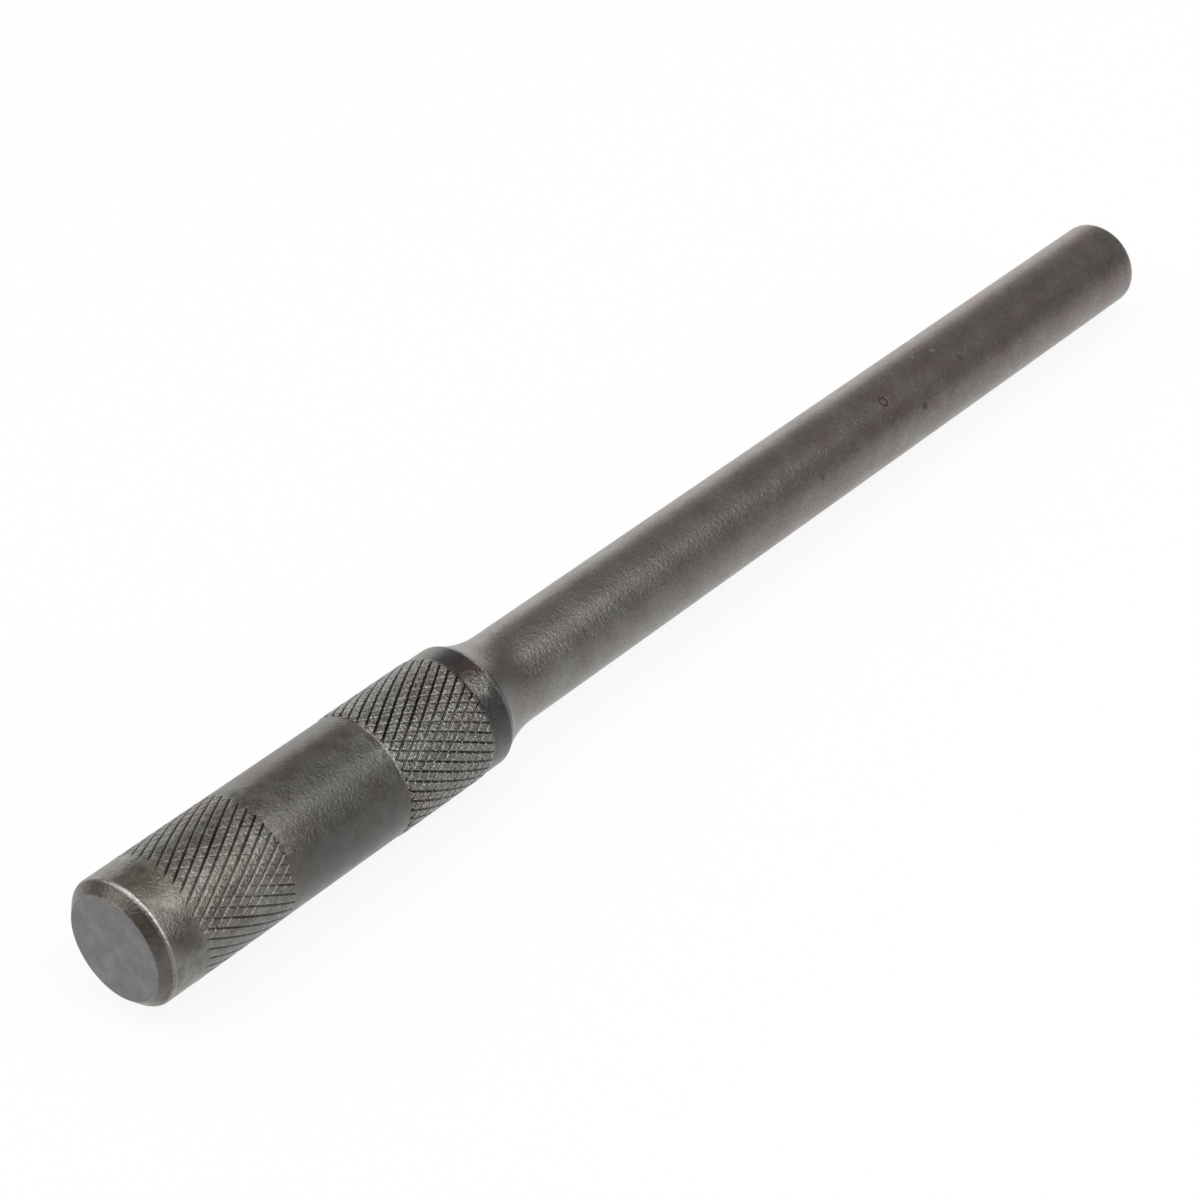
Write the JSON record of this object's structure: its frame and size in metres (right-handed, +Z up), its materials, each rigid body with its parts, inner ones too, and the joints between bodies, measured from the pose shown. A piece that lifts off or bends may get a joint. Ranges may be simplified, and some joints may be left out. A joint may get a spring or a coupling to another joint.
{
  "type": "pin punch",
  "caption": "Solid steel pin punch with a straight round pin, a coved shoulder, diamond-knurled grip bands and a bevelled striking face.",
  "frame": {"origin": "centre of the struck face", "axes": "+X along the axis of the punch, from the struck face to the end of the pin; +Z up as the punch lies on a bench"},
  "size_m": [0.1524, 0.013, 0.013],
  "materials": {
    "tool_steel": "satin"
  },
  "bodies": {
    "root": {"punch": "tool_steel"}
  },
  "joints": []
}
